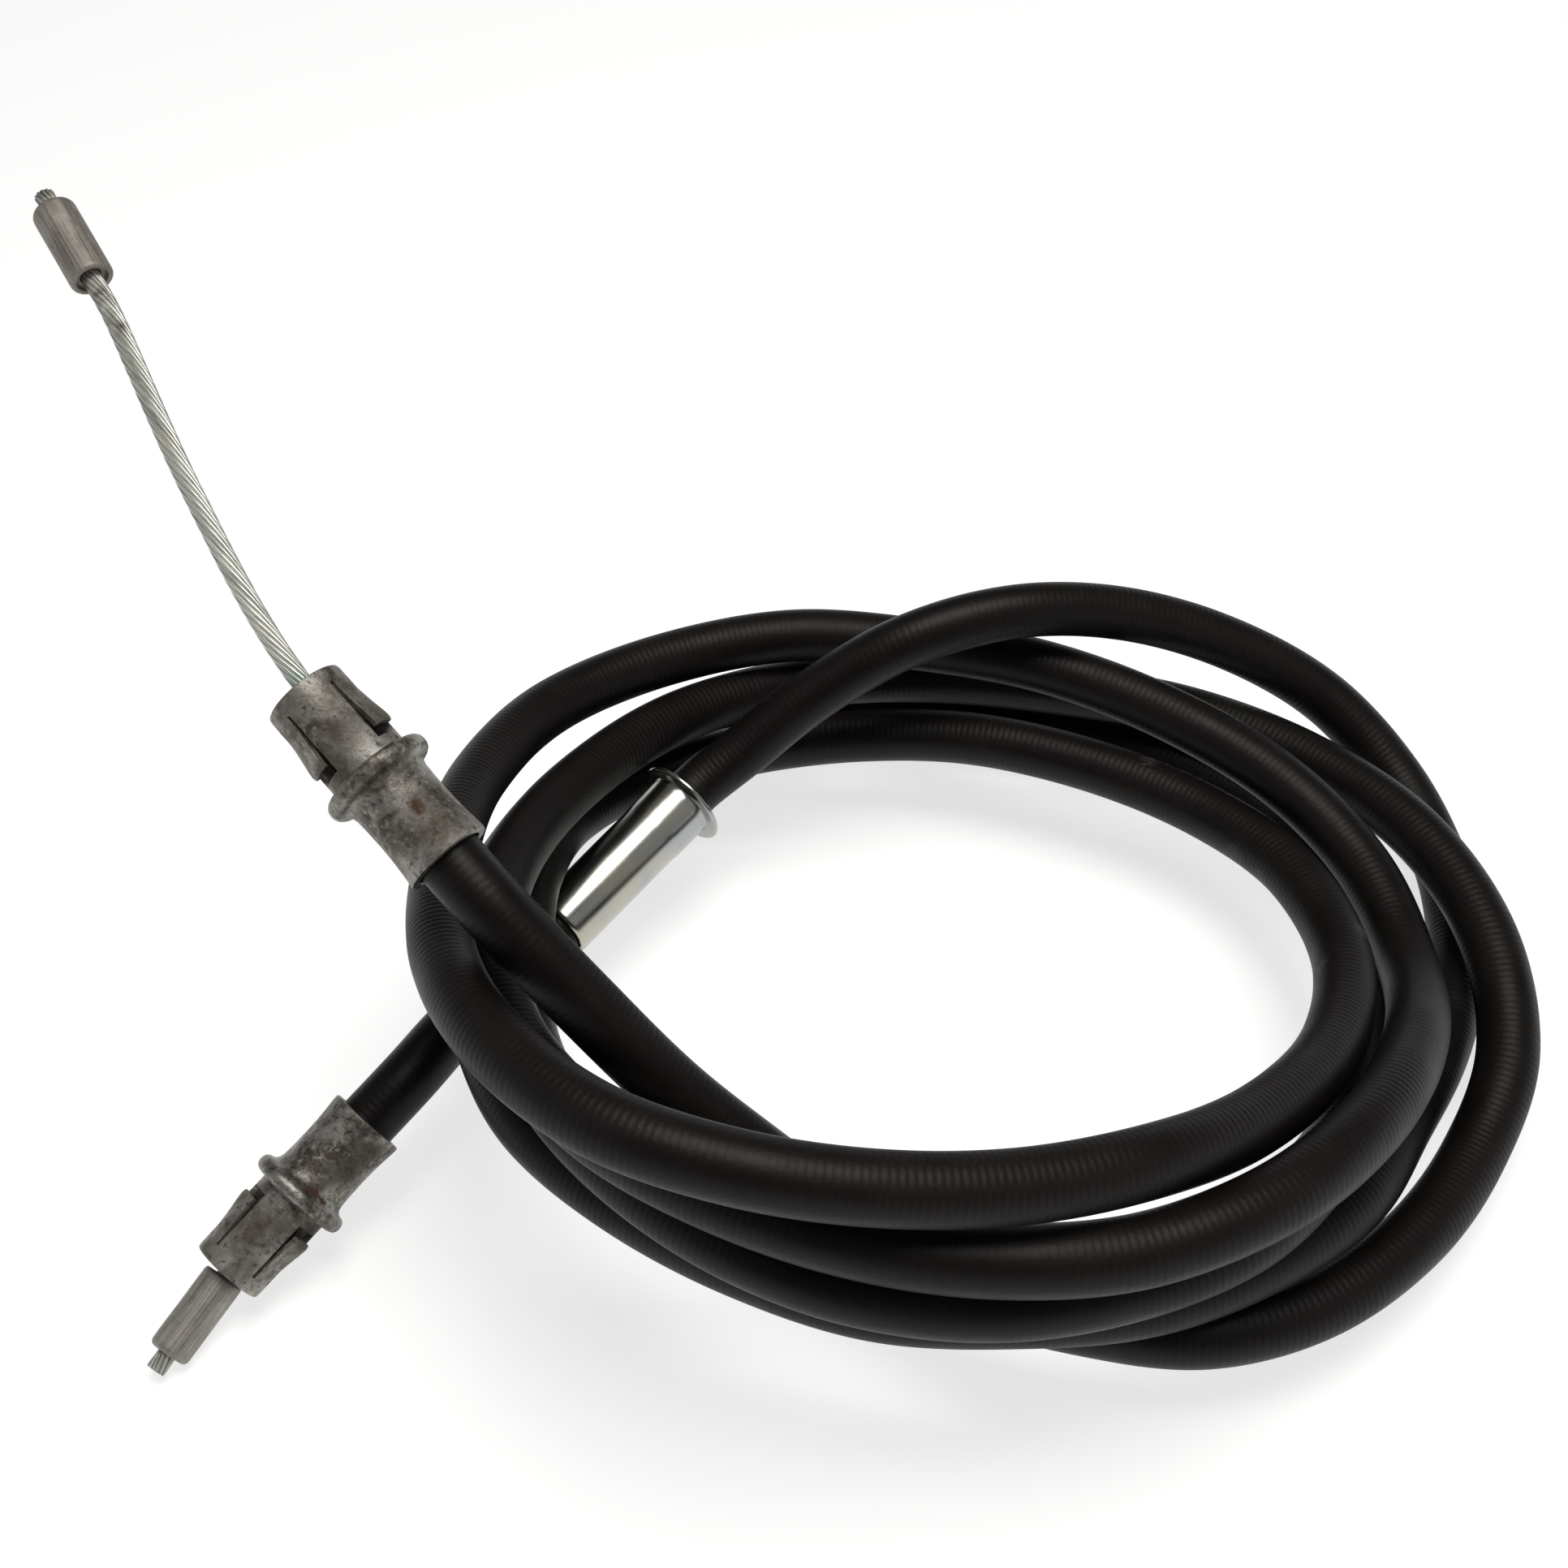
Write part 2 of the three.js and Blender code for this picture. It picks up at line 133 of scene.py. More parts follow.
upright = turn_upright(unit(WAY_UP))
ferrule_middles = [
    upper_ferrule_at + upper_aim * FERRULE_LENGTH / 2,
    lower_ferrule_at + lower_aim * FERRULE_LENGTH / 2,
]
box_middles = [
    np.mean(np.array(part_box(name), float), axis=0) * 1000 for name in ("upper_ferrule", "lower_ferrule")
]
aside = np.mean(box_middles, axis=0) - upright @ np.mean(ferrule_middles, axis=0)


def to_row(points):
    """Millimetres of the lists to metres of the row frame."""
    return (np.asarray(points, float) @ upright.T + aside) / 1000


# Camera: above the side where both ends stick out, looking down at 40 degrees from 250 mm up. It
# stands in the lists' own frame, so it is turned and moved with them.

CAMERA_PLACE = (-5, -236, 250)
CAMERA_LENS = 44.72
CAMERA_TILT = 50

camera_data = bpy.data.cameras.new("camera")
camera_data.lens = CAMERA_LENS
camera_data.sensor_width = 36
camera_data.clip_start = 0.01
camera = bpy.data.objects.new("camera", camera_data)
camera.location = to_row(CAMERA_PLACE)
camera_tilt = Matrix.Rotation(math.radians(CAMERA_TILT), 3, "X")
camera.rotation_euler = (Matrix(upright.tolist()) @ camera_tilt).to_euler()
bpy.context.scene.collection.objects.link(camera)
bpy.context.scene.camera = camera

# Studio: one broad lamp overhead and two weak ones at the sides, in a dark room with a white backdrop.
# The cable lies on a flat sheet of white paper, which glows a little to the camera and in the metal.

FLOOR_HALF = 3
PAPER_GREY = 0.5
PAPER_GLOW = 0.72


def node(tree, kind, inputs=None, **settings):
    """A shader node, with its settings, and its inputs as values or as the sockets that feed them."""
    made = tree.nodes.new("ShaderNode" + kind)
    for key, value in settings.items():
        setattr(made, key, value)
    for key, value in (inputs or {}).items():
        if isinstance(value, bpy.types.NodeSocket):
            tree.links.new(value, made.inputs[key])
        else:
            made.inputs[key].default_value = value
    return made


def calc(tree, operation, first, second=0.0):
    """One step of arithmetic on two values or sockets."""
    return node(tree, "Math", {0: first, 1: second}, operation=operation).outputs[0]


def ramp(tree, value, *stops):
    """A colour for each value, from (position, colour) stops with straight stretches between them."""
    made = node(tree, "ValToRGB", {"Fac": value})
    elements = made.color_ramp.elements
    for position, _ in stops[1:-1]:
        elements.new(position)
    elements[0].position = stops[0][0]
    elements[len(stops) - 1].position = stops[-1][0]
    for element, (_, colour) in zip(elements, stops):
        element.color = (*colour, 1)
    return made.outputs[0]


def material(name):
    """An empty node material, and its tree."""
    made = bpy.data.materials.new(name)
    made.use_nodes = True
    made.node_tree.nodes.clear()
    return made, made.node_tree


def grey(value):
    return (value, value, value, 1.0)


bpy.context.scene.view_settings.view_transform = "Standard"
floor_mesh = bpy.data.meshes.new("floor")
floor_corners = [(x * FLOOR_HALF, y * FLOOR_HALF, 0) for x, y in ((-1, -1), (1, -1), (1, 1), (-1, 1))]
floor_mesh.from_pydata(floor_corners, [], [(0, 1, 2, 3)])
floor = bpy.data.objects.new("floor", floor_mesh)
bpy.context.scene.collection.objects.link(floor)
floor_material, tree = material("floor_paper")
path = node(tree, "LightPath")
seen = calc(tree, "MAXIMUM", path.outputs["Is Camera Ray"], path.outputs["Is Glossy Ray"])
seen = calc(tree, "MAXIMUM", seen, path.outputs["Is Transmission Ray"])
floor_paper = node(tree, "BsdfDiffuse", {"Color": grey(PAPER_GREY)})
floor_glow = node(tree, "Emission", {"Color": grey(1), "Strength": calc(tree, "MULTIPLY", seen, PAPER_GLOW)})
floor_sum = node(tree, "AddShader", {0: floor_paper.outputs[0], 1: floor_glow.outputs[0]})
node(tree, "OutputMaterial", {"Surface": floor_sum.outputs[0]})
floor_mesh.materials.append(floor_material)

world = bpy.data.worlds.new("room")
bpy.context.scene.world = world
world.use_nodes = True
tree = world.node_tree
tree.nodes.clear()
look = node(tree, "TexCoord").outputs["Generated"]
height = node(tree, "SeparateXYZ", {0: look}).outputs["Z"]
room = ramp(tree, height, (0.02, (0.8, 0.8, 0.8)), (0.16, (0.09, 0.09, 0.09)))
sky = node(tree, "Background", {"Color": room, "Strength": 1.0})
backdrop = node(tree, "Background", {"Color": grey(1), "Strength": 1.0})
to_camera = node(tree, "LightPath").outputs["Is Camera Ray"]
seen = node(tree, "MixShader", {0: to_camera, 1: sky.outputs[0], 2: backdrop.outputs[0]})
node(tree, "OutputWorld", {"Surface": seen.outputs[0]})

for light_name, place, size, power, tint in (
    ("softbox_above", (0.14, -0.02, 0.95), 0.5, 6.0, (1.0, 0.985, 0.95)),
    ("fill_left", (-0.9, -0.2, 0.5), 1.0, 1.0, (0.94, 0.97, 1.0)),
    ("fill_right", (0.9, -0.4, 0.5), 1.0, 0.8, (1.0, 0.98, 0.96)),
):
    light_data = bpy.data.lights.new(light_name, "AREA")
    light_data.size = size
    light_data.energy = power
    light_data.color = tint
    light = bpy.data.objects.new(light_name, light_data)
    light.location = place
    light.rotation_euler = Vector(place).to_track_quat("Z", "Y").to_euler()
    bpy.context.scene.collection.objects.link(light)


# Conduit: black plastic cover over spiral armour, with fine ribs right round it, 10 mm across. It is
# crimped into an end fitting at each end and lies in five turns. Stiff enough to keep its curves.

CONDUIT_DIAMETER = 10.0
CONDUIT_SIDES = 28
CONDUIT_STEP = 1.2
RIB_PITCH = 1.15
CONDUIT_SCUFFS = [
    # (x, y, z, size, strength) of each place where the cover is rubbed
    (62, 40.4, 22.1, 2.2, 0.42), (74.7, 20.4, 18.2, 2.2, 0.5), (78, 14.4, 17.8, 2.2, 0.5),
    (80.6, -13.8, 26.1, 2.2, 0.42), (90.6, -5.6, 24.9, 2.2, 0.42),
]


def carried_frame(line):
    """Two directions across the line at each of its points, carried along it without twist.

    Each step reflects the frame twice, first in the plane between the two points and then in the
    plane between the reflected and the true tangent.
    """
    tangent = np.gradient(line, axis=0)
    tangent /= np.linalg.norm(tangent, axis=1)[:, None]
    across = np.zeros_like(line)
    across[0] = unit(np.cross(tangent[0], (0, 0, 1)))
    for i in range(len(line) - 1):
        v = line[i + 1] - line[i]
        r = across[i] - 2 * v * (v @ across[i]) / (v @ v)
        t = tangent[i] - 2 * v * (v @ tangent[i]) / (v @ v)
        w = tangent[i + 1] - t
        across[i + 1] = unit(r - 2 * w * (w @ r) / max(w @ w, 1e-12)) if w @ w > 1e-12 else r
    return tangent, across, np.cross(tangent, across)


def swept(line, radius, angle):
    """Rings round a line: point = line + radius (cos(angle) across + sin(angle) up)."""
    _, across, up = carried_frame(line)
    r, a = np.broadcast_arrays(radius, angle)
    outward = np.cos(a)[..., None] * across[:, None] + np.sin(a)[..., None] * up[:, None]
    return line[:, None] + r[..., None] * outward


def round_angles(count):
    """Angles at even steps round a full circle, from 0."""
    return np.arange(count) / count * 2 * math.pi


def ring_faces(rows, columns, start=0):
    """Quads between neighbouring rings of points, and the row and column of each quad's corners."""
    i, j = np.meshgrid(np.arange(rows - 1), np.arange(columns), indexing="ij")
    i, j = i.ravel(), j.ravel()
    row = np.stack([i, i, i + 1, i + 1], axis=1)
    column = np.stack([j, j + 1, j + 1, j], axis=1)
    return start + row * columns + column % columns, row, column


def mesh_piece(name, points, faces, uv, masks=None, sharp=None):
    """A mesh object at the origin from points in millimetres, with a UV map in millimetres and masks.

    Edges that turn by more than the sharp angle are shaded as edges.
    """
    mesh = bpy.data.meshes.new(name)
    mesh.from_pydata(to_row(points).tolist(), [], faces)
    mesh.polygons.foreach_set("use_smooth", np.ones(len(mesh.polygons), bool))
    layer = mesh.uv_layers.new(name="lay")
    layer.data.foreach_set("uv", np.asarray(uv, np.float32).ravel())
    for key, values in (masks or {}).items():
        made = mesh.attributes.new(key, "FLOAT", "POINT")
        made.data.foreach_set("value", np.asarray(values, np.float32).ravel())
    if sharp is not None:
        mesh.set_sharp_from_angle(angle=math.radians(sharp))
    mesh.update()
    made = bpy.data.objects.new(name, mesh)
    bpy.context.scene.collection.objects.link(made)
    return made


def spots(points, places):
    """A mask that is 1 at each place and fades out with distance: the largest of exp(-(d/size)^2)."""
    points = points.reshape(-1, 3)
    strongest = np.zeros(len(points))
    for *place, size, strength in places:
        d = np.linalg.norm(points - np.array(place), axis=1)
        strongest = np.maximum(strongest, strength * np.exp(-((d / size) ** 2)))
    return strongest


def noise(tree, where, scale, detail, roughness=0.5, distortion=0.0):
    """Cloudy noise from 0 to 1 at object places or map points."""
    return node(tree, "TexNoise", {
        "Vector": where, "Scale": scale, "Detail": detail, "Roughness": roughness,
        "Distortion": distortion}).outputs[0]


def stretched(tree, where, factors):
    """Places or map points with each coordinate times its factor."""
    return node(tree, "VectorMath", {0: where, 1: factors}, operation="MULTIPLY").outputs[0]


def remapped(tree, value, taken=(0.0, 1.0), given=(0.0, 1.0)):
    """A straight line from one range of values to another, held level outside it."""
    return node(tree, "MapRange", {
        "Value": value, "From Min": taken[0], "From Max": taken[1],
        "To Min": given[0], "To Max": given[1]}).outputs[0]


def covered(tree, share, under, over):
    """A colour with another over it by a share, which may be a socket."""
    return node(tree, "Mix", {0: share, 6: under, 7: over}, data_type="RGBA").outputs[2]


def mask(tree, name):
    """A mask that is stored on the mesh's points."""
    return node(tree, "Attribute", attribute_name=name).outputs["Fac"]


def lay_map(tree):
    """The map in millimetres, round the piece and along it."""
    return node(tree, "UVMap", uv_map="lay").outputs[0]


def dress(piece, look, tree, inputs):
    """Ends a piece's material in one Principled surface and puts it on the piece."""
    surface = node(tree, "BsdfPrincipled", inputs)
    node(tree, "OutputMaterial", {"Surface": surface.outputs[0]})
    piece.data.materials.append(look)


conduit_points = [route[0] + upper_axis * GRIP_DEPTH, *route, route[-1] + lower_axis * GRIP_DEPTH]
conduit_line, conduit_along = smooth_line(conduit_points, CONDUIT_STEP)
conduit_angle = round_angles(CONDUIT_SIDES)[None, :].repeat(len(conduit_line), 0)
conduit_rings = swept(conduit_line, CONDUIT_DIAMETER / 2, conduit_angle)
faces, row, column = ring_faces(len(conduit_line), CONDUIT_SIDES)
uv = np.stack([column * math.pi * CONDUIT_DIAMETER / CONDUIT_SIDES, conduit_along[row]], axis=-1)
first_ring = np.arange(CONDUIT_SIDES)
caps = [first_ring[::-1].tolist(), (first_ring + (len(conduit_line) - 1) * CONDUIT_SIDES).tolist()]
conduit = mesh_piece(
    "conduit_cover", conduit_rings.reshape(-1, 3), [*faces.tolist(), *caps],
    np.vstack([uv.reshape(-1, 2), np.zeros((2 * CONDUIT_SIDES, 2))]),
    {"scuff": spots(conduit_rings, CONDUIT_SCUFFS)},
)

cover, tree = material("conduit_plastic")
lay = lay_map(tree)
where = node(tree, "TexCoord").outputs["Object"]
cloud = noise(tree, where, 60.0, 4.0, 0.6)
grain = noise(tree, where, 1500.0, 3.0, 0.6)
along = node(tree, "SeparateXYZ", {0: lay}).outputs["Y"]
rib_wave = calc(tree, "SINE", calc(tree, "MULTIPLY", along, 2 * math.pi / RIB_PITCH))
rib_height = calc(tree, "MULTIPLY", rib_wave, remapped(tree, cloud, (0.35, 0.62), (0.15, 1.0)))
relief = calc(tree, "ADD", rib_height, calc(tree, "MULTIPLY", grain, 1.6))
bump = node(tree, "Bump", {"Height": relief, "Strength": 0.3, "Distance": 0.00008})
tone = ramp(tree, cloud, (0.3, (0.0048, 0.0038, 0.0034)), (0.75, (0.0088, 0.0071, 0.0063)))
fleck = noise(tree, stretched(tree, lay, (1.1, 0.7, 1.0)), 1.0, 5.0, 0.75)
rubbed = remapped(tree, calc(tree, "ADD", fleck, mask(tree, "scuff")), (0.66, 0.8), (0.0, 0.85))
dress(conduit, cover, tree, {
    "Base Color": covered(tree, rubbed, tone, (0.05, 0.045, 0.041, 1)),
    "Roughness": remapped(tree, cloud, (0.3, 0.7), (0.4, 0.54)),
    "Normal": bump.outputs[0], "Specular IOR Level": 0.19,
})
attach(conduit, "root")
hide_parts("conduit")


# Wire rope: nineteen galvanised wires laid up to 3.2 mm, twelve of them outside, in one length from
# stub to stub. It is bare between each fitting and its ferrule, and hidden inside the conduit.

ROPE_RADIUS = 1.6
ROPE_STEP = 0.8
OUTER_WIRES = 12
WIRE_POINTS = 10
LAY_LENGTH = 30.0
HIDDEN_STEPS = 6
HIDDEN_SIDES = 16
HIDDEN_RADIUS = ROPE_RADIUS * 0.96
SHOWN_DEPTH = 20


def rope_section(line, along):
    """Rings of touching outer wires: r = c cos(a) + sqrt(w^2 - c^2 sin(a)^2), turned with the lay.

    c is the radius of the ring of wire centres, w the wire's radius and a the angle from the nearest
    wire's centre. The whole ring turns once in each lay length. Returns the rings, how deep each
    point lies in the groove between two wires, and the number of its wire.
    """
    share = math.sin(math.pi / OUTER_WIRES)
    c = ROPE_RADIUS / (1 + share)
    w = c * share
    column = np.arange(OUTER_WIRES * WIRE_POINTS)
    a = ((column % WIRE_POINTS) + 0.5) / WIRE_POINTS * 2 - 1
    a = np.sign(a) * np.abs(a) ** 0.75 * math.pi / OUTER_WIRES
    r = c * np.cos(a) + np.sqrt(np.maximum(w**2 - (c * np.sin(a)) ** 2, 0))
    angle = (column // WIRE_POINTS + 0.5) * 2 * math.pi / OUTER_WIRES + a
    turned = angle[None, :] - 2 * math.pi * along[:, None] / LAY_LENGTH
    rings = swept(line, r[None, :].repeat(len(line), 0), turned)
    groove = np.clip((ROPE_RADIUS - r) / (ROPE_RADIUS - c * math.cos(math.pi / OUTER_WIRES)), 0, 1)
    wire = column // WIRE_POINTS
    return rings, groove[None, :].repeat(len(line), 0), wire[None, :].repeat(len(line), 0)


past_ferrule = (FERRULE_LENGTH / 2, FERRULE_LENGTH, FERRULE_LENGTH + ROPE_STUB)
upper_tail = [upper_ferrule_at + upper_aim * d for d in past_ferrule[::-1]]
lower_tail = [lower_ferrule_at + lower_aim * d for d in past_ferrule]
rope_points = [*upper_tail, *UPPER_REACH[::-1], *conduit_points, *LOWER_REACH, *lower_tail]
rope_line, rope_along = smooth_line(rope_points, ROPE_STEP)


def nearest(line, place):
    return np.argmin(np.linalg.norm(line - place, axis=1))


shown_upper = nearest(rope_line, route[0] + upper_axis * SHOWN_DEPTH)
shown_lower = len(rope_line) - 1 - nearest(rope_line[::-1], route[-1] + lower_axis * SHOWN_DEPTH)
points, faces, uvs, grooves, wires = [], [], [], [], []
for first, last in ((0, shown_upper), (shown_lower, len(rope_line) - 1)):
    line, along = rope_line[first:last + 1], rope_along[first:last + 1]
    rings, groove, wire = rope_section(line, along)
    start = sum(len(p) for p in points)
    columns = OUTER_WIRES * WIRE_POINTS
    shell, row, column = ring_faces(len(line), columns, start)
    points.append(rings.reshape(-1, 3))
    grooves.append(groove.ravel())
    wires.append(wire.ravel())
    faces += shell.tolist()
    uvs.append(np.stack([column * 2 * math.pi * ROPE_RADIUS / columns, along[row]], axis=-1).reshape(-1, 2))
    near_end = np.arange(columns) + start
    faces += [near_end[::-1].tolist(), (near_end + (len(line) - 1) * columns).tolist()]
    uvs.append(np.zeros((2 * columns, 2)))

# Where the conduit hides it, the rope is drawn as a plain tube that is a little thinner.
line = rope_line[shown_upper:shown_lower + 1:HIDDEN_STEPS]
along = rope_along[shown_upper:shown_lower + 1:HIDDEN_STEPS]
rings = swept(line, HIDDEN_RADIUS, round_angles(HIDDEN_SIDES)[None, :].repeat(len(line), 0))
shell, row, column = ring_faces(len(line), HIDDEN_SIDES, sum(len(p) for p in points))
points.append(rings.reshape(-1, 3))
grooves.append(np.zeros(len(line) * HIDDEN_SIDES))
wires.append(np.zeros(len(line) * HIDDEN_SIDES))
faces += shell.tolist()
uvs.append(np.stack([column * 2 * math.pi * ROPE_RADIUS / HIDDEN_SIDES, along[row]], axis=-1).reshape(-1, 2))
points = np.concatenate(points)
rope = mesh_piece("rope_wires", points, faces, np.concatenate(uvs), {
    "groove": np.concatenate(grooves), "wire": np.concatenate(wires),
    "dirt": spots(points, [
        (-110.5, 42.9, 115, 1.7, 1.0), (-109.6, 41, 113.9, 1.7, 1.0), (-108.6, 39, 112.7, 1.5, 1.0),
        (-107, 37.6, 112, 1.4, 1.0), (*upper_ferrule_at, 3.0, 0.8), (*rope_line[0], 3.0, 1.0),
        (*rope_line[-1], 3.0, 0.8)]),
    "verdigris": spots(points, [(-75.3, -11.3, 80.7, 1.9, 1.0)]),
}, sharp=50)

rope_look, tree = material("rope_galvanised")
groove, dirt = mask(tree, "groove"), mask(tree, "dirt")
each_wire = node(tree, "TexWhiteNoise", {"W": mask(tree, "wire")}, noise_dimensions="1D").outputs["Value"]
drawn = noise(tree, stretched(tree, lay_map(tree), (6.0, 0.35, 1.0)), 1.0, 3.0)
patch = noise(tree, node(tree, "TexCoord").outputs["Object"], 260.0, 3.0)
shade = calc(tree, "ADD", drawn, calc(tree, "MULTIPLY", each_wire, 0.35))
zinc = ramp(tree, shade, (0.3, (0.27, 0.275, 0.25)), (0.95, (0.8, 0.8, 0.74)))
tinted = covered(tree, remapped(tree, patch, (0.45, 0.7), (0.0, 0.4)), zinc, (0.6, 0.58, 0.47, 1))
# The grooves between the outer wires are painted darker by their depth: painted shade, where the wires shade
# each other.
groove_shaded = covered(tree, remapped(tree, groove, (0.45, 1.0), (0.0, 0.9)), tinted, (0.06, 0.055, 0.045, 1))
caked = calc(tree, "MULTIPLY", dirt, remapped(tree, patch, (0.35, 0.6)))
dirty = covered(tree, caked, groove_shaded, (0.035, 0.028, 0.022, 1))
green = covered(tree, calc(tree, "MULTIPLY", mask(tree, "verdigris"), 0.6), dirty, (0.16, 0.3, 0.24, 1))
rope_bump = node(tree, "Bump", {"Height": drawn, "Strength": 0.25, "Distance": 0.00004})
dress(rope, rope_look, tree, {
    "Base Color": green, "Metallic": 0.85,
    "Roughness": remapped(tree, calc(tree, "MAXIMUM", groove, dirt), given=(0.34, 0.7)),
    "Normal": rope_bump.outputs[0],
})
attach(rope, "root")
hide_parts("wire_rope")


# Weathered zinc, shared by the fittings and the ferrules: dull grey steel with brown rust where the
# rust mask is, pale oxide, dark stains and small pits.


def weathered_group():
    """Colour, roughness, metalness and height of old zinc, with a rust and a stain mask going in."""
    made = bpy.data.node_groups.new("weathered_zinc", "ShaderNodeTree")
    for name in ("Rust", "Stain"):
        made.interface.new_socket(name, in_out="INPUT", socket_type="NodeSocketFloat").default_value = 0.0
    made.interface.new_socket("Color", in_out="OUTPUT", socket_type="NodeSocketColor")
    for name in ("Roughness", "Metallic", "Height"):
        made.interface.new_socket(name, in_out="OUTPUT", socket_type="NodeSocketFloat")
    given = made.nodes.new("NodeGroupInput")
    where = node(made, "TexCoord").outputs["Object"]
    broad = noise(made, where, 170.0, 5.0, 0.65, 0.6)
    fine = noise(made, where, 900.0, 4.0, 0.7)
    pits = node(made, "TexVoronoi", {"Vector": where, "Scale": 1700.0, "Randomness": 1.0}).outputs["Distance"]
    base = ramp(
        made, broad, (0.36, (0.085, 0.072, 0.06)), (0.5, (0.21, 0.196, 0.178)), (0.64, (0.38, 0.37, 0.345)))
    speckled = covered(made, remapped(made, fine, (0.53, 0.66), (0.0, 0.75)), base, (0.46, 0.44, 0.38, 1))
    dark = (0.055, 0.045, 0.038, 1)
    flecked = covered(made, remapped(made, fine, (0.45, 0.36), (0.0, 0.85)), speckled, dark)
    film = calc(made, "MULTIPLY", given.outputs["Stain"], remapped(made, fine, (0.38, 0.58), (0.3, 1.2)))
    stained = covered(made, film, flecked, (0.062, 0.044, 0.028, 1))
    rust_edge = calc(made, "ADD", given.outputs["Rust"], calc(made, "MULTIPLY", fine, 1.6))
    rust = remapped(made, rust_edge, (1.2, 1.42))
    rust_tone = ramp(made, broad, (0.0, (0.04, 0.02, 0.013)), (1.0, (0.12, 0.058, 0.036)))
    worn = calc(made, "MAXIMUM", rust, given.outputs["Stain"])
    rough = remapped(made, worn, given=(0.44, 0.85))
    out = made.nodes.new("NodeGroupOutput")
    for name, socket in (
        ("Color", covered(made, rust, stained, rust_tone)),
        ("Roughness", calc(made, "ADD", rough, remapped(made, fine, given=(-0.1, 0.14)))),
        ("Metallic", remapped(made, worn, given=(0.8, 0.15))),
        ("Height", calc(made, "ADD", fine, remapped(made, pits, (0.0, 0.35), (-0.6, 0.0)))),
    ):
        made.links.new(socket, out.inputs[name])
    return made


weathered = weathered_group()


def standing(origin, axis, roll):
    """Where a piece stands: its origin, and as columns the two directions across its axis, turned
    by roll degrees, and the axis."""
    across = unit(np.cross(axis, (0, 0, 1)))
    up = np.cross(axis, across)
    c, s = math.cos(math.radians(roll)), math.sin(math.radians(roll))
    return np.asarray(origin, float), np.stack([c * across + s * up, c * up - s * across, axis], axis=1)


def stood(points, stand):
    """The points of a piece, made along Z, at its place and turn in the lists: p R + o."""
    origin, turn = stand
    return points @ turn.T + origin


def round_spots(points, radius, places):
    """A mask from places on a round piece, as (angle in degrees, distance, size, strength)."""
    return spots(points, [
        (radius * math.cos(math.radians(a)), radius * math.sin(math.radians(a)), z, size, strength)
        for a, z, size, strength in places])


# End fittings: drawn steel tube over the conduit's end, with a flared rear edge, a rolled bead and
# three snap-in fingers lanced from the front tube, which root at the mouth and stand out behind it.

FITTING_OUTSIDE = [
    (0.0, 6.45), (0.11, 6.62), (0.47, 6.68), (1.5, 6.6), (3.01, 6.45), (5.17, 6.3),
    (7.99, 6.24), (10.81, 6.28),
    (12.6, 6.36), (13.4, 6.55), (13.95, 6.95), (14.2, 7.5), (14.35, 8.05), (14.65, 8.4), (15.15, 8.62),
    (15.7, 8.66), (16.25, 8.55), (16.65, 8.25), (16.85, 7.8), (16.9, 7.2), (16.92, 6.6), (17.04, 6.36),
    (17.57, 6.33), (19.0, 6.33), (20.53, 6.33), (22.92, 6.31), (25.79, 6.28), (29.52, 6.27), (30.86, 6.27),
    (31.53, 6.26), (31.95, 6.18), (32.1, 5.95),
]
FITTING_BORE = [
    (0.0, 5.5), (0.11, 5.38), (0.47, 5.32), (1.5, 5.32), (3.01, 5.32), (5.17, 5.32),
    (7.99, 5.32), (10.81, 5.32),
    (12.6, 5.32), (13.1, 5.32), (13.1, 4.9), (13.1, 4.2), (13.1, 3.6), (13.2, 3.4), (14.0, 3.4),
    (14.3, 3.5), (14.3, 4.0), (14.3, 4.5), (14.3, 4.9), (14.6, 5.15), (15.1, 5.3), (16.2, 5.32),
    (17.57, 5.32), (19.0, 5.32), (20.53, 5.32), (22.92, 5.32), (25.79, 5.3), (29.52, 5.26), (30.86, 5.2),
    (31.53, 5.12), (31.91, 5.1), (32.1, 5.2),
]
FINGERS = 3
WINDOW_WIDTH = 5.0
WINDOW_ROWS = (19.0, 29.52)
FINGER_WIDTH = 3.9
TUBE_RADIUS = 6.3
SPOT_RADIUS = 6.4
WINDOW_COLUMNS = 10
BETWEEN_COLUMNS = 26
FINGER_COLUMNS = 9
FREE_ROWS = 3
ROOT_FROM = 21.6
ROOT_STEPS = 19
EDGE_ROUNDING = 0.09
UPPER_FITTING_ROLL = 63
LOWER_FITTING_ROLL = 56
FINGER_LINE = [
    # (distance from the rear edge, outer radius, thickness), from the turned-in free end to the root
    (20.53, 6.95, 0.7), (20.77, 7.12, 0.85), (21.3, 7.2, 0.95), (22.16, 7.12, 1.0), (23.5, 6.9, 1.0),
    (25.31, 6.62, 1.0), (27.22, 6.4, 1.0), (28.85, 6.26, 1.0), (30.19, 6.22, 1.0),
]


def skin(profile, angle):
    """Rings of a profile of (z, r) rows at the given angles: (r cos(a), r sin(a), z)."""
    z, r = np.array(profile).T[..., None]
    return np.stack([r * np.cos(angle), r * np.sin(angle), z + 0 * angle], axis=-1).reshape(-1, 3)


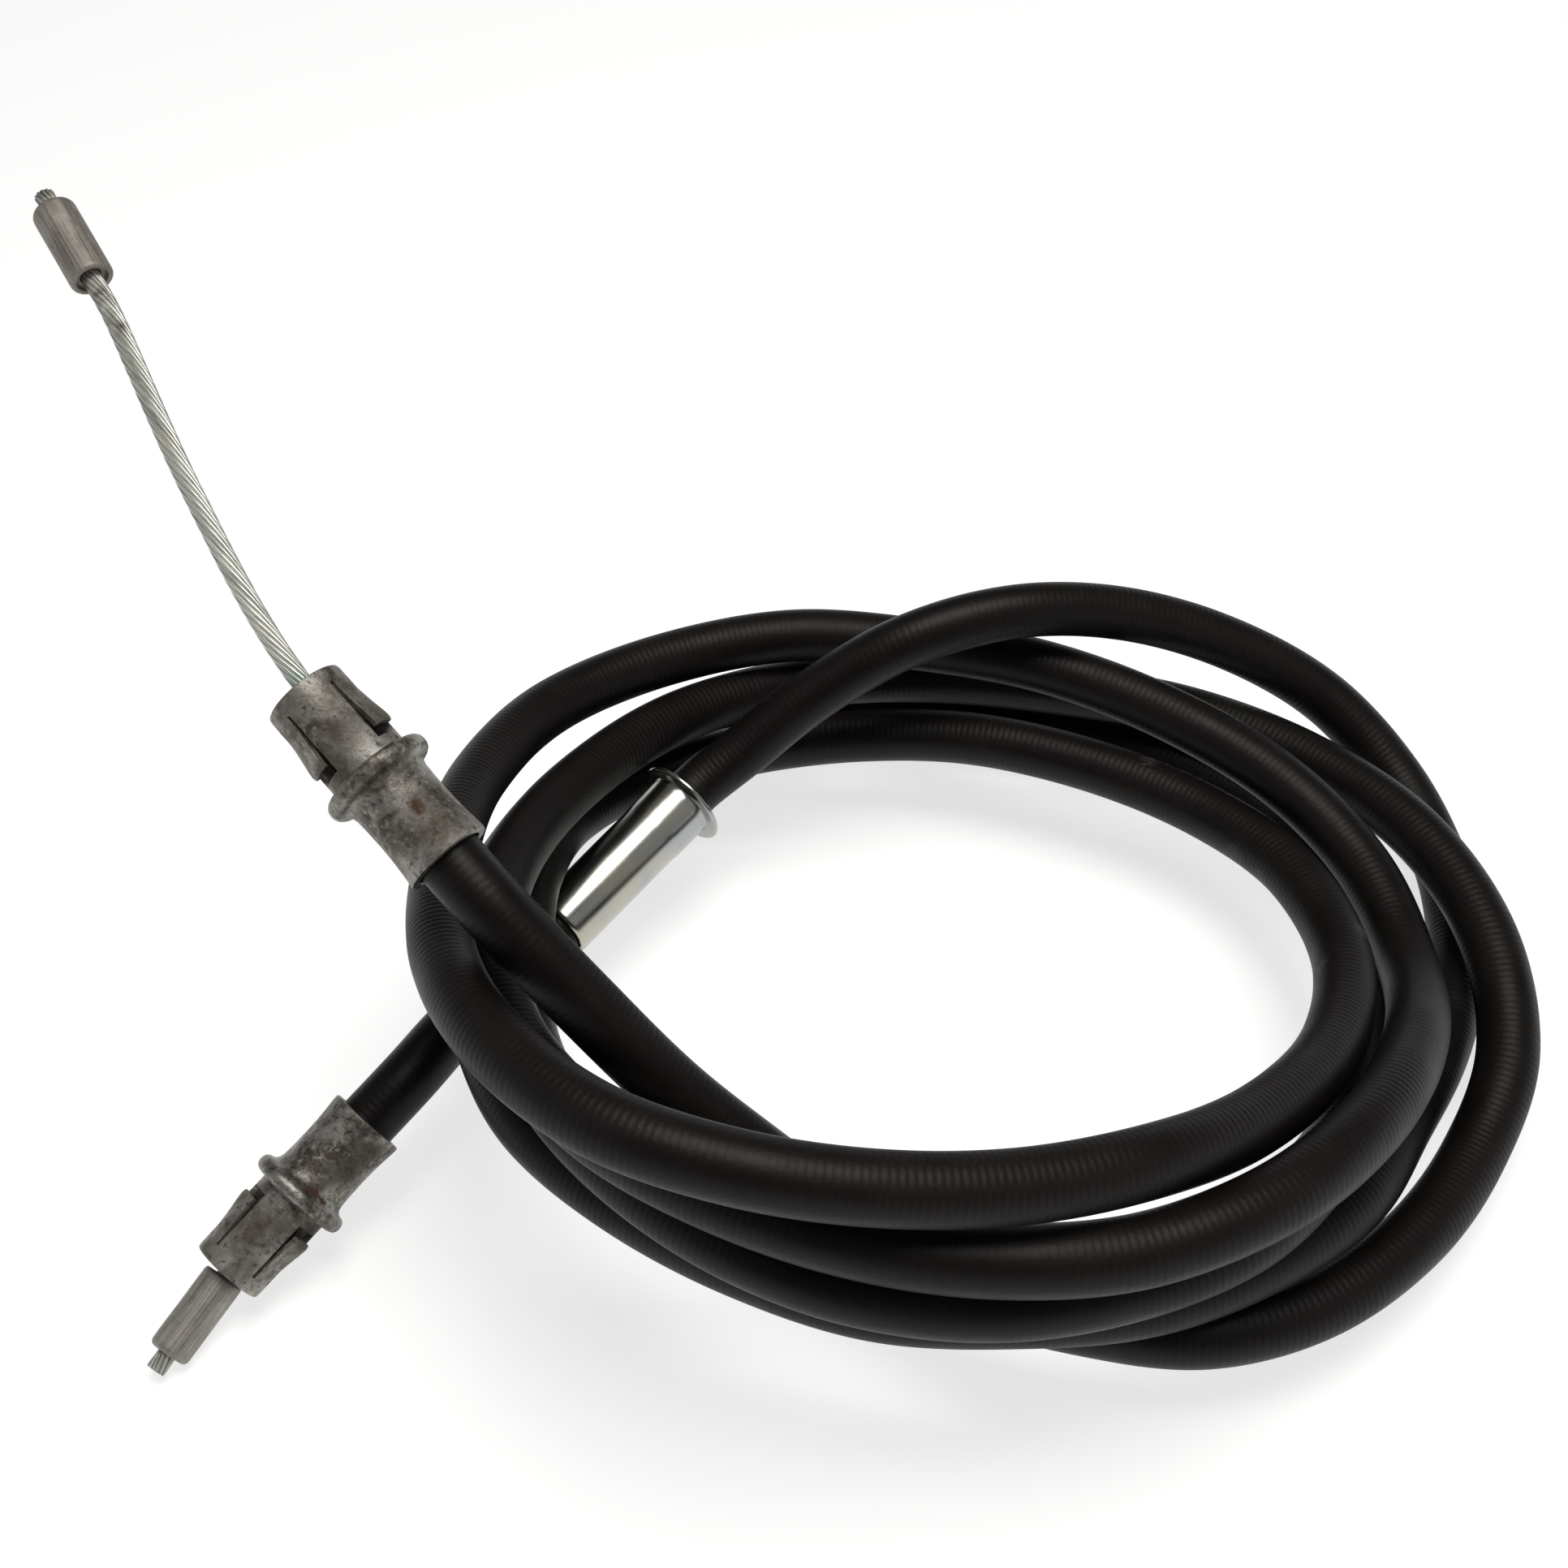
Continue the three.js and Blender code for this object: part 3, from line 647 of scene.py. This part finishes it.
def tube_shell():
    """The tube as two skins of rings: x = r cos(a), y = r sin(a), z from the two profiles.

    In each third, angles within asin(half the window's width / the tube's radius) of its middle are
    a window: there the quads between the window's rows are left out and a wall joins the skins.
    Returns the points, the faces and the corner UVs (round, along) in millimetres.
    """
    half = math.asin(WINDOW_WIDTH / 2 / TUBE_RADIUS)
    third = 2 * math.pi / FINGERS
    window = np.linspace(-half, half, WINDOW_COLUMNS + 1)[:-1]
    between = np.linspace(half, third - half, BETWEEN_COLUMNS + 1)[:-1]
    one_third = np.concatenate([window, between])
    angle = (np.arange(FINGERS)[:, None] * third + one_third).ravel()
    columns, rows = len(angle), len(FITTING_OUTSIDE)
    in_window = np.tile(np.arange(len(one_third)) < WINDOW_COLUMNS, FINGERS)
    along = np.array(FITTING_OUTSIDE)[:, 0]
    left_out = np.zeros((rows - 1, columns), bool)
    left_out[(along[:-1] >= WINDOW_ROWS[0]) & (along[:-1] < WINDOW_ROWS[1])] = in_window
    inner = rows * columns
    i, j = np.nonzero(~left_out)
    n = (j + 1) % columns
    a, b, c, d = i * columns + j, i * columns + n, (i + 1) * columns + n, (i + 1) * columns + j
    around = np.append(angle, angle[0] + 2 * math.pi) * TUBE_RADIUS
    low, high = np.stack([around[j], along[i]], axis=1), np.stack([around[j + 1], along[i + 1]], axis=1)
    right, left = np.stack([high[:, 0], low[:, 1]], axis=1), np.stack([low[:, 0], high[:, 1]], axis=1)
    faces = [np.stack([a, b, c, d], axis=1), np.stack([d, c, b, a], axis=1) + inner]
    uvs = [np.stack([low, right, high, left], axis=1), np.stack([left, high, right, low], axis=1)]
    framed = np.vstack([np.zeros((1, columns), bool), left_out, np.zeros((1, columns), bool)])
    for beside, p, q in (
        (left_out[i, n], b, c), (left_out[i, j - 1], d, a), (framed[i + 2, j], c, d), (framed[i, j], a, b),
    ):
        p, q = p[beside], q[beside]
        faces.append(np.stack([q, p, inner + p, inner + q], axis=1))
        uvs.append(low[beside][:, None].repeat(4, 1))
    j = np.arange(columns)
    n, top = (j + 1) % columns, (rows - 1) * columns
    faces.append(np.stack([top + j, top + n, inner + top + n, inner + top + j], axis=1))
    faces.append(np.stack([n, j, inner + j, inner + n], axis=1))
    for end in (along[-1], 0.0):
        uvs.append(np.stack([around[j], 0 * j + end], axis=1)[:, None].repeat(4, 1))
    points = np.vstack([skin(FITTING_OUTSIDE, angle), skin(FITTING_BORE, angle)])
    return points, np.vstack(faces), np.vstack(uvs)


def finger_shell(middle, start):
    """One finger as a plate bent round the tube's axis, its faces numbered from start.

    Along z its outer radius r and its thickness come from the finger's line by straight steps. The
    skins are (r cos(a), r sin(a), z) and the same with r less the thickness, for angles within
    asin(half the finger's width / the tube's radius) of the middle, and a rim closes them.
    """
    line = np.array(FINGER_LINE)
    z = np.concatenate([line[:FREE_ROWS, 0], np.linspace(ROOT_FROM, line[-1, 0], ROOT_STEPS)])
    r, thick = np.interp(z, line[:, 0], line[:, 1]), np.interp(z, line[:, 0], line[:, 2])
    spread = math.asin(FINGER_WIDTH / 2 / TUBE_RADIUS)
    angle = middle + np.linspace(-spread, spread, FINGER_COLUMNS)
    rows, columns = len(z), len(angle)
    under = rows * columns
    points = np.vstack([skin(np.stack([z, r], axis=1), angle), skin(np.stack([z, r - thick], axis=1), angle)])
    at = np.stack(np.meshgrid(z, angle * TUBE_RADIUS, indexing="ij")[::-1], axis=-1).reshape(-1, 2)
    number = np.arange(under).reshape(rows, columns)
    plate = np.stack([number[:-1, :-1], number[:-1, 1:], number[1:, 1:], number[1:, :-1]], axis=-1)
    plate = plate.reshape(-1, 4)
    rim = np.concatenate([number[:0:-1, 0], number[0, :-1], number[:-1, -1], number[-1, :0:-1]])
    after = np.roll(rim, -1)
    edge = np.stack([after, rim, rim + under, after + under], axis=1)
    faces = np.vstack([plate, plate[:, ::-1] + under, edge]) + start
    return points, faces, np.vstack([at[plate], at[plate[:, ::-1]], at[rim][:, None].repeat(4, 1)])


def fitting_points():
    """The tube with a finger in the middle of each window, as points, faces and corner UVs."""
    points, faces, uvs = tube_shell()
    for k in range(FINGERS):
        more = finger_shell(k * 2 * math.pi / FINGERS, len(points))
        points, faces, uvs = (np.vstack(pair) for pair in zip((points, faces, uvs), more))
    return points, faces.tolist(), uvs.reshape(-1, 2)


def fitting_piece(name, stands_for, stand, rust, stain):
    """One fitting, with its rust and stain spots given as (angle in degrees, distance, size, strength)."""
    points, faces, uvs = fitting_points()
    made = mesh_piece(name, stood(points, stand), faces, uvs, {
        "rust": round_spots(points, SPOT_RADIUS, rust),
        "stain": round_spots(points, SPOT_RADIUS, stain)}, sharp=38)
    edge = made.modifiers.new("edge", "BEVEL")
    edge.width = EDGE_ROUNDING / 1000
    edge.segments = 2
    edge.limit_method = "ANGLE"
    edge.angle_limit = math.radians(55)
    look, tree = material(name + "_zinc")
    masks = {"Rust": mask(tree, "rust"), "Stain": mask(tree, "stain")}
    group = node(tree, "Group", masks, node_tree=weathered)
    bump = node(tree, "Bump", {"Height": group.outputs["Height"], "Strength": 0.5, "Distance": 0.00012})
    dress(made, look, tree, {
        "Base Color": group.outputs["Color"], "Metallic": group.outputs["Metallic"],
        "Roughness": group.outputs["Roughness"], "Normal": bump.outputs[0],
    })
    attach(made, "root")
    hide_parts(stands_for)
    return made


upper_fitting = fitting_piece(
    "upper_fitting", "upper_end_fitting", standing(route[0], upper_axis, UPPER_FITTING_ROLL),
    rust=[
        (192, 8.2, 1.5, 0.85), (200, 6.8, 1.2, 0.6), (240, 8, 1.4, 0.6), (242, 17, 1.6, 0.6),
        (120, 15.5, 1.8, 0.55), (228, 18.8, 1.4, 0.5)],
    stain=[
        (190, 3.5, 3.4, 0.85), (194, 8.0, 2.6, 0.6), (130, 6.5, 2.2, 0.5), (186, 23, 4.2, 0.6),
        (148, 19, 3.0, 0.85), (238, 22, 3.2, 0.6), (150, 29, 3.0, 0.6), (215, 28, 3.0, 0.45),
        (180, 15.6, 2.6, 0.4)],
)
lower_fitting = fitting_piece(
    "lower_fitting", "lower_end_fitting", standing(route[-1], lower_axis, LOWER_FITTING_ROLL),
    rust=[
        (166, 13.9, 1.6, 0.85), (146, 14.2, 1.5, 0.7), (190, 13.8, 1.3, 0.5), (198, 25.5, 1.4, 0.5),
        (176, 2.5, 1.2, 0.4)],
    stain=[
        (150, 7.5, 2.8, 0.9), (140, 3, 1.8, 0.8), (198, 24, 3.6, 0.8), (120, 19.5, 3.2, 0.9),
        (170, 21, 2.4, 0.6), (208, 30, 2.4, 0.5), (165, 29, 3.0, 0.5), (234, 20.7, 2.5, 0.7)],
)


# Ferrules: turned steel barrels, one crimped on each end of the wire rope. Each has chamfered ends, a
# shallow recess where the rope enters, and fine marks of the die round it and along it.

FERRULE_RADIUS = 3.5
FERRULE_COLUMNS = 72
FERRULE_PROFILE = [
    # (distance from the inner end, radius), up the outside and back along the bore
    (0.85, 1.75), (0.8, 2.45), (0.12, 2.6), (0.0, 2.8), (0.0, 3.12), (0.12, 3.34), (0.4, 3.47), (0.8, 3.5),
    (3.0, 3.5), (5.5, 3.49), (8.0, 3.49), (10.5, 3.5), (13.3, 3.5), (13.75, 3.44), (14.1, 3.25),
    (14.35, 2.95), (14.4, 2.7), (14.4, 2.2), (14.3, 1.9), (13.9, 1.8), (12.0, 1.78), (2.0, 1.78),
]


def turned_points(profile, columns):
    """A closed profile of (z, r) rows turned about the axis: (r cos(a), r sin(a), z)."""
    z, r = np.array(profile).T
    points = skin(profile, round_angles(columns))
    rows = len(profile)
    i, j = np.meshgrid(np.arange(rows), np.arange(columns), indexing="ij")
    i, j = i.ravel(), j.ravel()
    n, m = (i + 1) % rows, (j + 1) % columns
    faces = np.stack([i * columns + j, i * columns + m, n * columns + m, n * columns + j], axis=1)
    around = np.stack([j, j + 1, j + 1, j], axis=1) * 2 * math.pi / columns * r.max()
    along = np.stack([z[i], z[i], z[n], z[n]], axis=1)
    return points, faces.tolist(), np.stack([around, along], axis=-1).reshape(-1, 2)


def ferrule_piece(name, stands_for, stand, tone, rings, stain):
    """One ferrule. Rings is the share of the marks that run round it, and the rest run along it."""
    points, faces, uvs = turned_points(FERRULE_PROFILE, FERRULE_COLUMNS)
    made = mesh_piece(name, stood(points, stand), faces, uvs, {
        "stain": round_spots(points, FERRULE_RADIUS, stain)}, sharp=40)
    look, tree = material(name + "_steel")
    lay = lay_map(tree)
    along_marks = noise(tree, stretched(tree, lay, (3.2, 0.12, 1.0)), 1.0, 4.0, 0.6)
    round_marks = noise(tree, stretched(tree, lay, (0.1, 2.6, 1.0)), 1.0, 4.0, 0.6)
    marks = node(tree, "Mix", {0: rings, 2: along_marks, 3: round_marks}).outputs[0]
    group = node(tree, "Group", {"Stain": mask(tree, "stain")}, node_tree=weathered)
    tone = np.array(tone)
    metal_tone = ramp(tree, marks, (0.36, 0.5 * tone), (0.62, 1.25 * tone))
    pitted = calc(tree, "MULTIPLY", group.outputs["Height"], 0.25)
    relief = calc(tree, "ADD", calc(tree, "MULTIPLY", marks, 1.2), pitted)
    bump = node(tree, "Bump", {"Height": relief, "Strength": 0.45, "Distance": 0.0001})
    dress(made, look, tree, {
        "Base Color": covered(tree, 0.3, metal_tone, group.outputs["Color"]), "Metallic": 0.75,
        "Roughness": remapped(tree, marks, given=(0.5, 0.72)), "Normal": bump.outputs[0],
    })
    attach(made, "root")
    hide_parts(stands_for)
    return made


upper_barrel = ferrule_piece(
    "upper_barrel", "upper_ferrule", standing(upper_ferrule_at, upper_aim, 0), (0.36, 0.325, 0.295), 0.06,
    stain=[(240, 2.0, 2.0, 0.6), (230, 7.0, 1.6, 0.4)])
lower_barrel = ferrule_piece(
    "lower_barrel", "lower_ferrule", standing(lower_ferrule_at, lower_aim, 0), (0.44, 0.415, 0.375), 0.15,
    stain=[(250, 2.0, 2.0, 0.4), (220, 11.0, 2.2, 0.5)])


# Guide sleeve: zinc-plated steel tube slipped over the conduit, smooth and bright, with a thin flange
# at one end and a slight step down behind it. It slides, and in use a clip holds it.

SLEEVE_START = (-23.6, 38.5, 15.5)
SLEEVE_END = (-46, 13, 6.8)
SLEEVE_COLUMNS = 96
SLEEVE_PROFILE = [
    (0.0, 5.4), (0.0, 8.0), (0.06, 8.35), (0.25, 8.55), (0.5, 8.6), (0.75, 8.5), (0.88, 8.3), (0.9, 7.9),
    (0.92, 7.0), (1.05, 6.5), (1.5, 6.32), (2.5, 6.3), (7.8, 6.3), (8.5, 6.26), (9.5, 6.14), (10.2, 6.1),
    (33.2, 6.1), (33.7, 6.02), (33.95, 5.85), (34.0, 5.6), (33.9, 5.38), (20.0, 5.36), (1.0, 5.36),
]
sleeve_axis = unit(np.array(SLEEVE_END) - np.array(SLEEVE_START))
points, faces, uvs = turned_points(SLEEVE_PROFILE, SLEEVE_COLUMNS)
sleeve_points = stood(points, standing(SLEEVE_START, sleeve_axis, 0))
sleeve = mesh_piece("guide_sleeve_plated", sleeve_points, faces, uvs, sharp=35)
sleeve_look, tree = material("sleeve_zinc")
drawn = noise(tree, stretched(tree, lay_map(tree), (2.2, 0.05, 1.0)), 1.0, 5.0, 0.65)
haze = noise(tree, node(tree, "TexCoord").outputs["Object"], 140.0, 4.0)
sleeve_bump = node(tree, "Bump", {"Height": haze, "Strength": 0.2, "Distance": 0.00002})
dress(sleeve, sleeve_look, tree, {
    "Base Color": ramp(tree, haze, (0.35, (0.38, 0.395, 0.4)), (0.65, (0.46, 0.445, 0.385))), "Metallic": 1.0,
    "Roughness": remapped(tree, calc(tree, "MULTIPLY", haze, drawn), (0.1, 0.4), (0.2, 0.26)),
    "Normal": sleeve_bump.outputs[0],
})
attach(sleeve, "root")
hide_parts("guide_sleeve")
